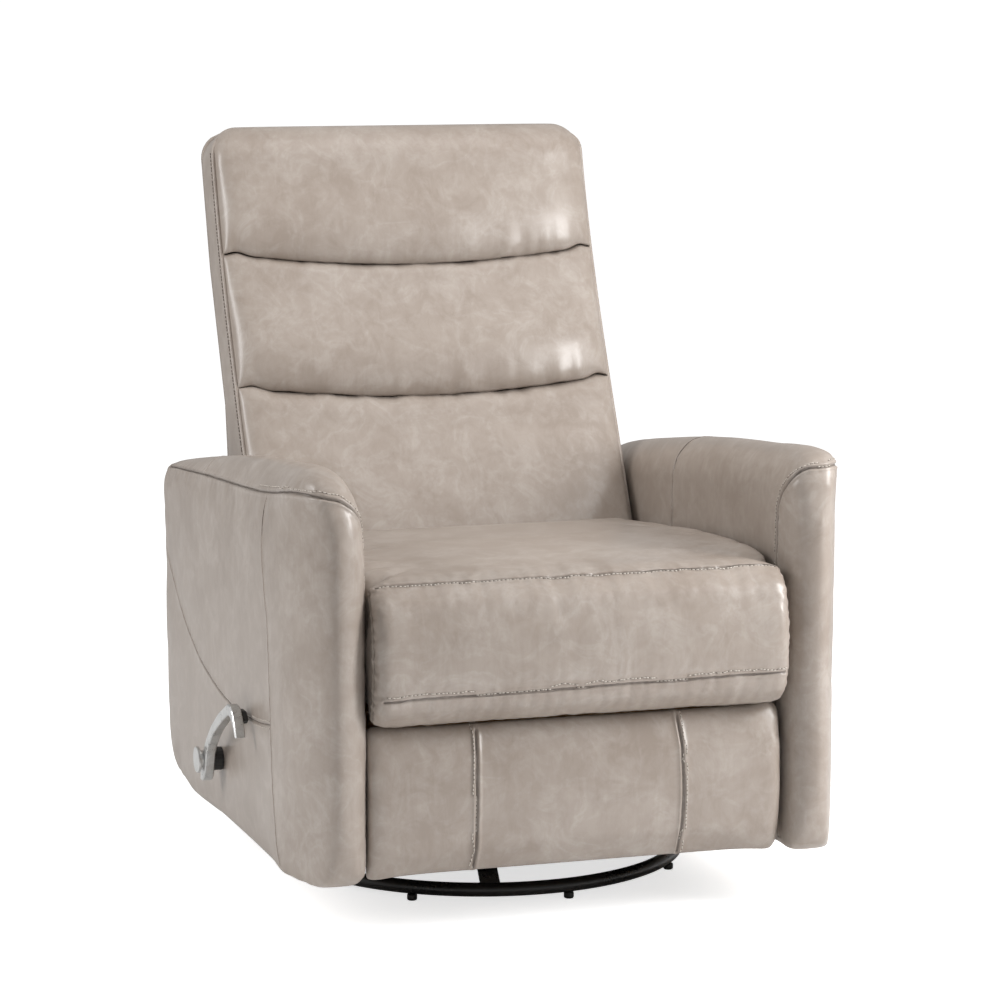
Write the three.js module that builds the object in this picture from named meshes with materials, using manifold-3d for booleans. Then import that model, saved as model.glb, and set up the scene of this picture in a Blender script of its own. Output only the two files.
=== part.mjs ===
// A swivel glider recliner: an upholstered armchair on a round steel ring base. It turns on the ring, glides
// to and fro on four hanging links, opens a footrest with a side lever, and reclines at the back.
// Millimetres, +Z up, the sitter faces -Y. The group's origin is on the floor under the middle of the chair.
import * as THREE from "three";
import { mergeVertices } from "three/addons/utils/BufferGeometryUtils.js";
import Module from "manifold-3d";

const wasm = await Module();
wasm.setup();

// ---- driving dimensions ---------------------------------------------------------------------------------
const GAP = 0.4; // between pieces that touch
// the swivel axis stands this far from the middle of the chair's box: the lever sticks out on one side
const AXIS_X = 19;
const AXIS_Y = -7;

const RING_RADIUS = 290; // floor ring, to the middle of its tube
const RING_TUBE = 10;
const RING_HEIGHT = 19;
const BASE_TURN = -15; // degrees that the ring base is turned from square
const SPOKE_WIDTH = 28;
const SPOKE_LOW = 15; // underside of the cross bars
const SPOKE_HIGH = 23;
const HUB_RADIUS = 92;
const HUB_THICK = 12;
const RACE_INNER = 40; // the swivel bearing's races, radii and top
const RACE_OUTER = 88;
const RACE_TOP = 36;
const GLIDE_COUNT = 8;
const GLIDE_RADIUS = 7.5;

const PLATE_HALF = [200, 150]; // the plate that turns on the bearing
const PLATE_BOTTOM = 37;
const PLATE_TOP = 43;
const POST_X = 166; // inner face of a post
const POST_Y = 120;
const POST_HALF = 20; // half a post's width
const POST_THICK = 6;
const PIVOT_HOLE = 5.4; // radius of the link pivots' holes
const RAIL_LOW = 66; // the carriage's side rails
const RAIL_HIGH = 110;
const CARRIAGE_TOP = 200;
const LINK_TOP = 186; // upper pivots of the hanging links
const LINK_LENGTH = 100;

const ARM_IN = 304; // inner face of an arm
const ARM_WIDTH = 95;
const ARM_BOTTOM = 84;
const POCKET_IN = 26; // the hollow in an arm's foam for its frame, from the arm's inner face
const POCKET_OUT = 64;
const POCKET_TOP = 500;

const SEAT_HALF = 300;
const SEAT_BOTTOM = 296.5;
const PLATE_IN = 268.4; // inner face of the recliner's side plates
const PLATE_THICK = 4;
const PAD_HALF = 293; // footrest pad
const BOARD_FRONT = -402; // footrest board, where the pad sits on it
const CRANK_PIVOT = { y: -325, z: 232 };
const ELBOW = { y: -297, z: 95 };
const PANEL_PIVOT = { y: -378, z: 235 };

const BACK_HALF = 299;
const BACK_PIVOT = { y: 206, z: 304 };
const CUSHION_DEPTH = 40; // from the sewn edge to the back board
const BOARD_DEPTH = 58; // from the sewn edge to the rear of the back board
const BOARD_HALF = 261;
const CROWN = 34; // how far a back cushion stands proud of its sewn edge
// the sewn edge of the back's front, in side view, from the seat up
const BACK_LINE = [
  [118, 345],
  [174, 464],
  [274, 678],
  [365, 872],
  [419, 1050],
];

const LEVER_PIVOT = { y: -16, z: 175 };

// ---- materials ------------------------------------------------------------------------------------------
const finish = (color, roughness, metalness) => () =>
  new THREE.MeshStandardMaterial({ color, roughness, metalness });
const leather = finish(0xafa79e, 0.45, 0);
const blackSteel = finish(0x141313, 0.35, 0.6);
const zincSteel = finish(0x8d9094, 0.4, 0.9);
const satinSilver = finish(0xc4c5c6, 0.3, 0.9);
const blackPlastic = finish(0x1b1a1a, 0.5, 0);
const wood = finish(0xb99768, 0.7, 0);

// ---- helpers --------------------------------------------------------------------------------------------
const radians = (degrees) => (degrees * Math.PI) / 180;

function place(name, geometry, material, [x, y, z] = [0, 0, 0]) {
  const mesh = new THREE.Mesh(geometry, material());
  mesh.name = name;
  mesh.position.set(x, y, z);
  return mesh;
}

function solid(geometry) {
  const bare = geometry.clone();
  bare.deleteAttribute("normal");
  bare.deleteAttribute("uv");
  const merged = mergeVertices(bare, 1e-3);
  return new wasm.Manifold(
    new wasm.Mesh({
      numProp: 3,
      vertProperties: merged.attributes.position.array,
      triVerts: new Uint32Array(merged.index.array),
    }),
  );
}

function geometryOf(manifold) {
  const mesh = manifold.getMesh();
  const geometry = new THREE.BufferGeometry();
  geometry.setAttribute("position", new THREE.BufferAttribute(mesh.vertProperties, 3));
  geometry.setIndex(new THREE.BufferAttribute(mesh.triVerts, 1));
  geometry.computeVertexNormals();
  return geometry;
}

const cut = (body, ...tools) =>
  geometryOf(tools.reduce((left, tool) => left.subtract(solid(tool)), solid(body)));
const join = (body, ...more) =>
  geometryOf(more.reduce((sum, next) => sum.add(solid(next)), solid(body)));

// a box given by its lowest and highest corners
function block([x0, y0, z0], [x1, y1, z1]) {
  const geometry = new THREE.BoxGeometry(x1 - x0, y1 - y0, z1 - z0);
  return geometry.translate((x0 + x1) / 2, (y0 + y1) / 2, (z0 + z1) / 2);
}

// an upright disc centred on the origin, from one height to another
function disc(radius, low, high, sides = 24) {
  const geometry = new THREE.CylinderGeometry(radius, radius, high - low, sides);
  return geometry.rotateX(Math.PI / 2).translate(0, 0, (low + high) / 2);
}

// a round bar along X from x0 to x1, at height z and depth y
function roundBar(x0, x1, radius, { y, z }, sides = 14) {
  const geometry = new THREE.CylinderGeometry(radius, radius, Math.abs(x1 - x0), sides);
  return geometry.rotateZ(Math.PI / 2).translate((x0 + x1) / 2, y, z);
}

// a side-view outline, in depth y and height z, made solid from x0 to x1 with rounded edges
function sideSolid(outline, x0, x1, round = 0, steps = 2) {
  const drawn = outline instanceof THREE.Shape;
  const shape = drawn ? outline : new THREE.Shape(outline.map((p) => new THREE.Vector2(...p)));
  const geometry = new THREE.ExtrudeGeometry(shape, {
    depth: x1 - x0 - 2 * round,
    bevelEnabled: round > 0,
    bevelThickness: round,
    bevelSize: round,
    bevelOffset: -round,
    bevelSegments: steps,
    curveSegments: 6,
  });
  const turn = new THREE.Matrix4().makeBasis(
    new THREE.Vector3(0, 1, 0),
    new THREE.Vector3(0, 0, 1),
    new THREE.Vector3(1, 0, 0),
  );
  return geometry.applyMatrix4(turn).translate(x0 + round, 0, 0);
}

// a smooth closed outline through a few points
function smooth(points, count) {
  const corners = points.map(([y, z]) => new THREE.Vector3(y, z, 0));
  const curve = new THREE.CatmullRomCurve3(corners, true, "centripetal");
  return curve.getPoints(count).slice(0, -1).map((p) => [p.x, p.y]);
}

// a flat bar with round ends between two pivots, in side view
function barOutline(from, to, width) {
  const angle = Math.atan2(to.z - from.z, to.y - from.y);
  const shape = new THREE.Shape();
  shape.absarc(to.y, to.z, width / 2, angle - Math.PI / 2, angle + Math.PI / 2, false);
  shape.absarc(from.y, from.z, width / 2, angle + Math.PI / 2, angle + (3 * Math.PI) / 2, false);
  return shape;
}

// the same geometry mirrored to the other side of the chair, for side = -1
function onSide(geometry, side) {
  if (side > 0) return geometry;
  const mirrored = geometry.index ? geometry.toNonIndexed() : geometry;
  mirrored.scale(-1, 1, 1);
  const p = mirrored.attributes.position;
  for (let i = 0; i < p.count; i += 3) {
    const [x, y, z] = [p.getX(i), p.getY(i), p.getZ(i)];
    p.setXYZ(i, p.getX(i + 2), p.getY(i + 2), p.getZ(i + 2));
    p.setXYZ(i + 2, x, y, z);
  }
  return mirrored;
}

// the point at the given depth behind the back's sewn edge, at its numbered corner
function behind(index, depth) {
  const a = BACK_LINE[Math.max(index - 1, 0)];
  const b = BACK_LINE[Math.min(index + 1, BACK_LINE.length - 1)];
  const length = Math.hypot(b[0] - a[0], b[1] - a[1]);
  const [y, z] = BACK_LINE[index];
  return [y + (depth * (b[1] - a[1])) / length, z - (depth * (b[0] - a[0])) / length];
}

// ---- ring base ------------------------------------------------------------------------------------------
function ringBase() {
  const group = new THREE.Group();
  group.rotation.z = radians(BASE_TURN);
  const ring = new THREE.TorusGeometry(RING_RADIUS, RING_TUBE, 8, 40);
  group.add(place("base_ring", ring, blackSteel, [0, 0, RING_HEIGHT]));

  const reach = RING_RADIUS - RING_TUBE - 4 * GAP;
  const half = SPOKE_WIDTH / 2;
  const hub = disc(HUB_RADIUS, SPOKE_LOW, SPOKE_LOW + HUB_THICK);
  const across = block([-reach, -half, SPOKE_LOW], [reach, half, SPOKE_HIGH]);
  const along = block([-half, -reach, SPOKE_LOW], [half, reach, SPOKE_HIGH]);
  group.add(place("base_cross", join(hub, across, along), blackSteel));

  for (let i = 0; i < GLIDE_COUNT; i++) {
    const angle = radians((360 * (i + 0.5)) / GLIDE_COUNT);
    const height = RING_HEIGHT - RING_TUBE - GAP;
    const at = [RING_RADIUS * Math.cos(angle), RING_RADIUS * Math.sin(angle), 0];
    group.add(place("floor_glide_" + (i + 1), disc(GLIDE_RADIUS, 0, height, 12), blackPlastic, at));
  }

  const raceBottom = SPOKE_LOW + HUB_THICK + GAP;
  const race = [
    [RACE_INNER, raceBottom],
    [RACE_OUTER, raceBottom],
    [RACE_OUTER, RACE_TOP],
    [RACE_INNER, RACE_TOP],
    [RACE_INNER, raceBottom],
  ].map((p) => new THREE.Vector2(...p));
  group.add(place("swivel_race", new THREE.LatheGeometry(race, 24).rotateX(Math.PI / 2), zincSteel));
  return group;
}

// ---- the frame that turns, and the links that hang from it ----------------------------------------------
function swivelFrame() {
  const group = new THREE.Group();
  const [halfX, halfY] = PLATE_HALF;
  const plate = block([-halfX, -halfY, PLATE_BOTTOM], [halfX, halfY, PLATE_TOP]);
  const boss = disc(RACE_INNER - 0.5, PLATE_BOTTOM - 9, PLATE_BOTTOM + 1);
  group.add(place("swivel_plate", join(plate, boss), blackSteel));
  for (const [side, hand] of [[-1, "right"], [1, "left"]])
    for (const [y, end] of [[-POST_Y, "front"], [POST_Y, "rear"]]) {
      const foot = PLATE_TOP + GAP;
      const [front, rear, out] = [y - POST_HALF, y + POST_HALF, POST_X + POST_THICK];
      const upright = block([POST_X, front, foot], [out, rear, LINK_TOP + 16]);
      const flange = block([POST_X - 30, front, foot], [out, rear, foot + 5]);
      const hole = roundBar(POST_X - 2, out + 2, PIVOT_HOLE, { y, z: LINK_TOP });
      const post = onSide(cut(join(upright, flange), hole), side);
      group.add(place("glider_post_" + end + "_" + hand, post, blackSteel));
      group.add(place("glide_link_" + end + "_" + hand, onSide(glideLink(y), side), zincSteel));
    }
  return group;
}

function glideLink(y) {
  const top = { y, z: LINK_TOP };
  const bar = sideSolid(barOutline(top, { y, z: LINK_TOP - LINK_LENGTH }, 24), POST_X + 8, POST_X + 13);
  return join(bar, roundBar(POST_X - 1, POST_X + 10, 5, top));
}

// ---- the carriage that hangs on the links, and carries the arms -----------------------------------------
function carriage() {
  const group = new THREE.Group();
  for (const [side, hand] of [[-1, "right"], [1, "left"]]) {
    const x = POST_X + 18;
    const rail = block([x, -235, RAIL_LOW], [x + 8, 235, RAIL_HIGH]);
    const low = LINK_TOP - LINK_LENGTH;
    const pins = [-POST_Y, POST_Y].map((y) => roundBar(x - 3.5, x + 2, 6, { y, z: low }));
    group.add(place("carriage_rail_" + hand, onSide(join(rail, ...pins), side), blackSteel));
    const web = block([276, -300, 105], [282, 260, CARRIAGE_TOP]);
    const flange = block([276, -300, 105], [ARM_IN - GAP, 260, 111]);
    group.add(place("arm_bracket_" + hand, onSide(join(web, flange), side), blackSteel));
  }
  for (const [y, end] of [[-217, "front"], [217, "rear"]]) {
    const tube = block([-275.5, y - 12.5, RAIL_HIGH + GAP], [275.5, y + 12.5, RAIL_HIGH + 25]);
    group.add(place("cross_tube_" + end, tube, blackSteel));
  }
  return group;
}

// ---- arms -----------------------------------------------------------------------------------------------
// side view of an arm: a straight foot, a rear edge that leans back, a top that rises to a round front
const ARM_SIDE = [
  [-395, ARM_BOTTOM],
  [-100, ARM_BOTTOM],
  [322, ARM_BOTTOM],
  [372, 120],
  [388, 230],
  [397, 360],
  [399, 470],
  [372, 540],
  [300, 566],
  [140, 594],
  [-70, 621],
  [-270, 637],
  [-395, 643],
  [-440, 625],
  [-464, 570],
  [-466, 400],
  [-462, 130],
  [-440, ARM_BOTTOM + 4],
];

// top view of an arm, from its inner face out: a round nose in front
function armPlan() {
  const shape = new THREE.Shape();
  const out = ARM_IN + ARM_WIDTH;
  shape.moveTo(ARM_IN, 405);
  shape.lineTo(ARM_IN, -425);
  shape.bezierCurveTo(ARM_IN, -450, ARM_IN + 18, -466, ARM_IN + 42, -466);
  shape.bezierCurveTo(ARM_IN + 62, -466, out, -400, out, -300);
  shape.lineTo(out, -150);
  shape.bezierCurveTo(out, 100, out - 2, 250, out - 7, 405);
  return shape;
}

// the foam and cover of one arm, hollow from below for its wooden frame
function armPad() {
  const drawn = { depth: 700, bevelEnabled: false, curveSegments: 6 };
  const upright = new THREE.ExtrudeGeometry(armPlan(), drawn);
  const outline = sideSolid(smooth(ARM_SIDE, 44), ARM_IN, ARM_IN + ARM_WIDTH, 14);
  const pocket = block([ARM_IN + POCKET_IN, -390, 0], [ARM_IN + POCKET_OUT, 300, POCKET_TOP]);
  return geometryOf(solid(outline).intersect(solid(upright)).subtract(solid(pocket)));
}

// the wooden frame inside an arm: a board with two rows of square cut-outs
function armFrame() {
  const [x0, x1] = [ARM_IN + POCKET_IN + 1, ARM_IN + POCKET_OUT - 1];
  const board = block([x0, -389, ARM_BOTTOM + 2], [x1, 299, POCKET_TOP - 1]);
  const windows = [150, 320].flatMap((z) =>
    [-330, -170, -10, 150].map((y) => block([x0 - 1, y, z], [x1 + 1, y + 90, z + 90])),
  );
  return cut(board, ...windows);
}

function arms() {
  const group = new THREE.Group();
  for (const [side, hand] of [[-1, "right"], [1, "left"]]) {
    group.add(place("arm_upholstery_" + hand, onSide(armPad(), side), leather));
    group.add(place("arm_frame_" + hand, onSide(armFrame(), side), wood));
  }
  const panel = sideSolid(
    [
      [354, 100],
      [374, 100],
      [374, 275],
      [354, 275],
    ],
    -ARM_IN + GAP,
    ARM_IN - GAP,
    4,
  );
  group.add(place("rear_panel", panel, leather));
  return group;
}

// ---- lever on the sitter's right ------------------------------------------------------------------------
function lever() {
  const group = new THREE.Group();
  const arm = -(ARM_IN + ARM_WIDTH);
  const bush = roundBar(arm - 14, arm - GAP, 17, LEVER_PIVOT, 18);
  group.add(place("lever_bush", bush, blackPlastic));

  const handle = new THREE.Shape();
  handle.moveTo(-2, 143);
  handle.bezierCurveTo(-2, 178, -50, 240, -170, 286);
  handle.bezierCurveTo(-190, 292, -205, 282, -222, 248);
  handle.lineTo(-215, 246);
  handle.bezierCurveTo(-203, 266, -188, 274, -172, 270);
  handle.bezierCurveTo(-90, 236, -40, 205, -33, 168);
  handle.bezierCurveTo(-30, 150, -18, 139, -2, 143);
  const strap = sideSolid(handle, arm - 29, arm - 14 - GAP, 1.5, 1);
  const neck = roundBar(arm - 33, arm - 28, 13, LEVER_PIVOT, 18);
  group.add(place("lever_handle", join(strap, neck), satinSilver));

  const cap = roundBar(arm - 38, arm - 33 - GAP, 19, LEVER_PIVOT, 20);
  group.add(place("lever_cap", cap, satinSilver));
  const tip = sideSolid(
    [
      [-196, 262],
      [-176, 266],
      [-174, 279],
      [-192, 279],
      [-204, 268],
    ],
    arm - 14,
    arm - 5,
    1.5,
    1,
  );
  group.add(place("lever_tip", tip, blackPlastic));
  return group;
}

// ---- seat -----------------------------------------------------------------------------------------------
// the steel side plate under the seat: it carries the footrest crank in front and the back's pivot behind
function mechanismPlate() {
  const outline = [
    [-345, 218],
    [-318, 212],
    [0, 196],
    [150, 206],
    [226, 280],
    [228, 318],
    [208, 328],
    [186, 318],
    [150, 268],
    [-300, 266],
    [-342, 250],
  ];
  const holes = [
    roundBar(PLATE_IN - 2, PLATE_IN + 8, 6.4, CRANK_PIVOT),
    roundBar(PLATE_IN - 2, PLATE_IN + 8, 7.4, BACK_PIVOT),
  ];
  return cut(sideSolid(outline, PLATE_IN, PLATE_IN + PLATE_THICK), ...holes);
}

// one sinuous spring: a wire that runs front to rear in flat waves
function seatSpring() {
  const [front, rear, waves, sway] = [-334, 64, 6, 26];
  const points = Array.from({ length: waves * 4 + 1 }, (_, i) => {
    const t = i / (waves * 4);
    return new THREE.Vector3(sway * Math.sin((i * Math.PI) / 2), front + (rear - front) * t, 0);
  });
  const wire = new THREE.Shape().absarc(0, 0, 2.2, 0, 2 * Math.PI, false);
  return new THREE.ExtrudeGeometry(wire, {
    extrudePath: new THREE.CatmullRomCurve3(points),
    steps: waves * 6,
    curveSegments: 3,
    bevelEnabled: false,
  });
}

function seat() {
  const group = new THREE.Group();
  const rails = cut(block([-268, -368, 270], [268, 98, 296]), block([-236, -336, 260], [236, 66, 300]));
  group.add(place("seat_frame", rails, wood));
  for (const [i, x] of [-130, 0, 130].entries())
    group.add(place("seat_spring_" + (i + 1), seatSpring(), zincSteel, [x, 0, 290]));
  for (const [side, hand] of [[-1, "right"], [1, "left"]])
    group.add(place("mechanism_plate_" + hand, onSide(mechanismPlate(), side), zincSteel));
  const outline = [
    [-436, SEAT_BOTTOM],
    [-100, SEAT_BOTTOM],
    [86, SEAT_BOTTOM],
    [98, 352],
    [142, 452],
    [128, 472],
    [0, 492],
    [-180, 504],
    [-340, 504],
    [-430, 492],
    [-462, 470],
    [-478, 420],
    [-478, 370],
    [-464, 320],
  ];
  group.add(place("seat_cushion", sideSolid(outline, -SEAT_HALF, SEAT_HALF, 12), leather));
  return group;
}

// ---- footrest and its linkage ---------------------------------------------------------------------------
function footrest() {
  const group = new THREE.Group();
  group.add(place("footrest_torque_tube", roundBar(-257.5, 257.5, 10, CRANK_PIVOT, 16), zincSteel));
  for (const [side, hand] of [[-1, "right"], [1, "left"]]) {
    const crank = join(
      cut(sideSolid(barOutline(CRANK_PIVOT, ELBOW, 24), 258, 262.5), roundBar(256, 265, 5.4, ELBOW)),
      roundBar(262, 274, 6, CRANK_PIVOT),
    );
    const link = join(
      cut(sideSolid(barOutline(ELBOW, PANEL_PIVOT, 22), 252, 256.5), roundBar(250, 259, 5.4, PANEL_PIVOT)),
      roundBar(256, 264, 5, ELBOW),
    );
    const lug = join(
      sideSolid(
        [
          [-389.6, 165],
          [-376, 175],
          [-366, 235],
          [-376, 258],
          [-389.6, 266],
        ],
        246,
        250,
      ),
      roundBar(248, 257.5, 5, PANEL_PIVOT),
    );
    group.add(place("footrest_crank_" + hand, onSide(crank, side), zincSteel));
    group.add(place("footrest_link_" + hand, onSide(link, side), zincSteel));
    group.add(place("footrest_bracket_" + hand, onSide(lug, side), zincSteel));
  }
  group.add(place("footrest_board", block([-280, BOARD_FRONT, 90], [280, BOARD_FRONT + 12, 284]), wood));
  const outline = [
    [BOARD_FRONT - GAP, 83],
    [BOARD_FRONT - GAP, 290],
    [-418, 290],
    [-432, 278],
    [-444, 235],
    [-447, 180],
    [-440, 120],
    [-426, 90],
    [-418, 83],
  ].reverse();
  group.add(place("footrest_pad", sideSolid(outline, -PAD_HALF, PAD_HALF, 8), leather));
  return group;
}

// ---- back -----------------------------------------------------------------------------------------------
// the point a share t of the way from a to b
const between = (a, b, t) => [a[0] + (b[0] - a[0]) * t, a[1] + (b[1] - a[1]) * t];

// one soft section of the back, between two corners of its sewn edge
function backCushion(low, high) {
  const clear = 1.5;
  const along = (index, other, depth, inset) => {
    const [a, b] = [behind(index, depth), behind(other, depth)];
    const length = Math.hypot(b[0] - a[0], b[1] - a[1]);
    return [a[0] + ((b[0] - a[0]) * inset) / length, a[1] + ((b[1] - a[1]) * inset) / length];
  };
  const front = [0.12, 0.35, 0.65, 0.88].map((t) => {
    const proud = -CROWN * Math.sin(Math.PI * t);
    return between(behind(low, proud), behind(high, proud), t);
  });
  return [
    along(low, high, CUSHION_DEPTH, clear),
    along(high, low, CUSHION_DEPTH, clear),
    along(high, low, 4, clear),
    ...front.reverse(),
    along(low, high, 4, clear),
  ].reverse();
}

function backPieces() {
  const group = new THREE.Group();
  const soft = (name, outline) => {
    group.add(place(name, sideSolid(outline, -BACK_HALF, BACK_HALF, 10), leather));
  };
  soft("back_cushion_lower", backCushion(1, 2));
  soft("back_cushion_middle", backCushion(2, 3));
  const [headFront, headRear] = [behind(4, -8), behind(4, CUSHION_DEPTH)];
  const raised = ([y, z]) => [y + 0.7, z + 1.5];
  soft("back_cushion_head", [
    raised(behind(3, CUSHION_DEPTH)),
    raised(behind(3, 4)),
    ...[0.2, 0.5, 0.8].map((t) => between(behind(3, -26), behind(4, -26), t)),
    headFront,
    [headFront[0] + 14, 1064],
    [headRear[0] - 4, 1068],
    headRear,
  ].reverse());

  const plank = (from, to, indexes) => [
    ...indexes.map((i) => behind(i, from)),
    ...[...indexes].reverse().map((i) => behind(i, to)),
  ];
  const board = sideSolid(plank(CUSHION_DEPTH + GAP, BOARD_DEPTH, [0, 1, 2, 3, 4]), -BOARD_HALF, BOARD_HALF);
  group.add(place("back_board", board, wood));

  const cover = BOARD_DEPTH + GAP;
  const inside = [behind(4, cover), behind(3, cover), behind(2, 62), [322, 570], [328, 440], [337, 285]];
  const outside = [[346, 285], [337, 440], [331, 570], behind(2, 71), behind(3, 76), behind(4, 76)];
  group.add(place("outside_back", sideSolid([...inside, ...outside], -BACK_HALF, BACK_HALF), leather));

  const rail = block([-255, 214, 286], [255, 333, 308]);
  group.add(place("back_bottom_rail", rail, wood));
  for (const [side, hand] of [[-1, "right"], [1, "left"]]) {
    const outline = [
      [186, 290],
      [206, 284],
      [228, 290],
      [238, 380],
      [262, 470],
      [226, 470],
      [176, 360],
    ];
    const bracket = join(sideSolid(outline, 262, 266.5), roundBar(266, 274, 7, BACK_PIVOT));
    group.add(place("back_bracket_" + hand, onSide(bracket, side), zincSteel));
  }
  return group;
}

// ---- the chair ------------------------------------------------------------------------------------------
const chair = new THREE.Group();
chair.name = "swivel_glider_recliner";
const model = new THREE.Group();
model.position.set(AXIS_X, AXIS_Y, 0);
model.add(ringBase(), swivelFrame(), carriage(), arms(), lever(), seat(), footrest(), backPieces());
chair.add(model);

export default chair;
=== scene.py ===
# %% [markdown]
# # A swivel glider recliner, built cell by cell
#
# The chair is an upholstered recliner on a round steel base. Its frame, joints and hidden metalwork
# come ready made from the CAD model, and this script adds what a sewing room and a paint shop add:
# the leather covers with their seams and stitches, the padding, the polished lever and the paint.
# Everything is in metres, with the CAD model as the fixed frame.

# %% Load the frame
import math

import bmesh
import bpy
import numpy as np
from mathutils import Matrix, Vector, noise
from mathutils.bvhtree import BVHTree
from mathutils.kdtree import KDTree


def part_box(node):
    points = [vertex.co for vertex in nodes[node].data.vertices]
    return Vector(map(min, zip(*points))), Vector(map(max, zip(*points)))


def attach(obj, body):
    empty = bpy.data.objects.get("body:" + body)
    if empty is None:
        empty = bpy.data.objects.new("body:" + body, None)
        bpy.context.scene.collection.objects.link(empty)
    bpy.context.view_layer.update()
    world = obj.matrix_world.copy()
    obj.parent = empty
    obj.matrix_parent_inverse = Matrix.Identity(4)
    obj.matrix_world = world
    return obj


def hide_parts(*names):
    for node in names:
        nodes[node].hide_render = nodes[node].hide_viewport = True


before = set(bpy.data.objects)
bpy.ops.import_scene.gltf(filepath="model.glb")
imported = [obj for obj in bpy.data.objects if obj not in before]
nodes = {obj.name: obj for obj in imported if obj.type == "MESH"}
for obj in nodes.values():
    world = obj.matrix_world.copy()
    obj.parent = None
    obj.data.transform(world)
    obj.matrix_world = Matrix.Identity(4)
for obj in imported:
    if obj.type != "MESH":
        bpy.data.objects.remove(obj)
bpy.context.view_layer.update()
scene = bpy.context.scene

# %% [markdown]
# ## Where things are
#
# The chair turns about the middle of its ring, so every place is given from that axis, with x to the
# sitter's left, y to the rear and z up. Reading the axis from the ring itself keeps the script true
# if the CAD model is moved in its frame.

# %% The swivel axis
MM = 0.001
ring_low, ring_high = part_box("base_ring")
AXIS = Vector(((ring_low.x + ring_high.x) / 2, (ring_low.y + ring_high.y) / 2, 0))


def at(x, y, z):
    """A point given in millimetres from the swivel axis and the floor."""
    return AXIS + Vector((x, y, z)) * MM


print("swivel axis:", [round(v, 4) for v in AXIS])

# %% [markdown]
# ## Helpers for meshes
#
# Padding is shaped by moving many vertices at once, which is quick with numpy arrays. Modifiers such
# as a voxel remesh or a cloth simulation are evaluated and kept as a plain mesh, so that nothing live
# is left on a finished piece.

# %% Mesh helpers
def mesh_object(name, bm):
    """A smooth-shaded object made from a bmesh."""
    mesh = bpy.data.meshes.new(name)
    bm.to_mesh(mesh)
    bm.free()
    mesh.polygons.foreach_set("use_smooth", [True] * len(mesh.polygons))
    piece = bpy.data.objects.new(name, mesh)
    scene.collection.objects.link(piece)
    return piece


def vertex_values(mesh, field, width=3):
    """A field of all the mesh's vertices as one array."""
    values = np.empty(len(mesh.vertices) * width, np.float32)
    mesh.vertices.foreach_get(field, values)
    return values.reshape(-1, width).astype(float)


def move_vertices(mesh, places):
    mesh.vertices.foreach_set("co", places.astype(np.float32).ravel())
    mesh.update()


def keep_modifiers(piece):
    """Makes the evaluated mesh the piece's own and drops its modifiers."""
    graph = bpy.context.evaluated_depsgraph_get()
    shape = bpy.data.meshes.new_from_object(
        piece.evaluated_get(graph), preserve_all_data_layers=True, depsgraph=graph)
    piece.modifiers.clear()
    old, piece.data = piece.data, shape
    bpy.data.meshes.remove(old)
    shape.polygons.foreach_set("use_smooth", [True] * len(shape.polygons))


def subdivided(piece):
    """One round of subdivision, kept in the mesh."""
    finer = piece.modifiers.new("Finer", "SUBSURF")
    finer.levels = finer.render_levels = 1
    keep_modifiers(piece)


# %% [markdown]
# ## Helpers for padding
#
# A stuffed piece starts as the CAD solid of its foam. A voxel remesh gives it an even skin, and a
# short cloth simulation with air pressure and no gravity makes that skin swell and crease like a
# cover over foam. The movement is capped, because real foam stops the cover from ballooning.

# %% Padding helpers
SKIN_VOXEL = 8 * MM
PUFF_FRAMES = 20


def foam_copy(name, node):
    """An evenly meshed copy of a CAD foam solid."""
    bm = bmesh.new()
    bm.from_mesh(nodes[node].data)
    bmesh.ops.remove_doubles(bm, verts=bm.verts, dist=0.01 * MM)
    piece = mesh_object(name, bm)
    remesh = piece.modifiers.new("Skin", "REMESH")
    remesh.mode = "VOXEL"
    remesh.voxel_size = SKIN_VOXEL
    keep_modifiers(piece)
    return piece


def relaxed(mesh, rounds, factor=0.5):
    """Softens the mesh's corners by pulling each vertex towards its neighbours."""
    bm = bmesh.new()
    bm.from_mesh(mesh)
    for _ in range(rounds):
        bmesh.ops.smooth_vert(
            bm, verts=bm.verts, factor=factor, use_axis_x=True, use_axis_y=True, use_axis_z=True)
    bm.to_mesh(mesh)
    bm.free()


def puff(piece, cap, pressure=4):
    """Swells the piece by a cloth simulation, with no vertex moving further than the cap."""
    before = vertex_values(piece.data, "co")
    cloth = piece.modifiers.new("Puff", "CLOTH")
    cloth.settings.use_pressure = True
    cloth.settings.uniform_pressure_force = pressure
    cloth.settings.effector_weights.gravity = 0
    cloth.point_cache.frame_start = 1
    cloth.point_cache.frame_end = PUFF_FRAMES
    for number in range(1, PUFF_FRAMES + 1):
        scene.frame_set(number)
    graph = bpy.context.evaluated_depsgraph_get()
    swollen = vertex_values(piece.evaluated_get(graph).data, "co")
    piece.modifiers.clear()
    scene.frame_set(1)
    move = swollen - before
    reach = np.linalg.norm(move, axis=1, keepdims=True)
    move *= cap * np.tanh(reach / cap) / np.maximum(reach, 1e-9)
    move_vertices(piece.data, before + move)
    print(piece.name, "swells by up to", round(float(reach.max() / MM), 1), "mm before the cap")


def fit_to(piece, low, high):
    """Stretches the piece a little, so that it fills the box of its CAD solid again."""
    places = vertex_values(piece.data, "co")
    small, large = places.min(axis=0), places.max(axis=0)
    share = (places - small) / (large - small)
    move_vertices(piece.data, np.array(low) + share * (np.array(high) - np.array(low)))


def smoothstep(values, low, high):
    t = np.clip((values - low) / (high - low), 0, 1)
    return t * t * (3 - 2 * t)


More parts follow.
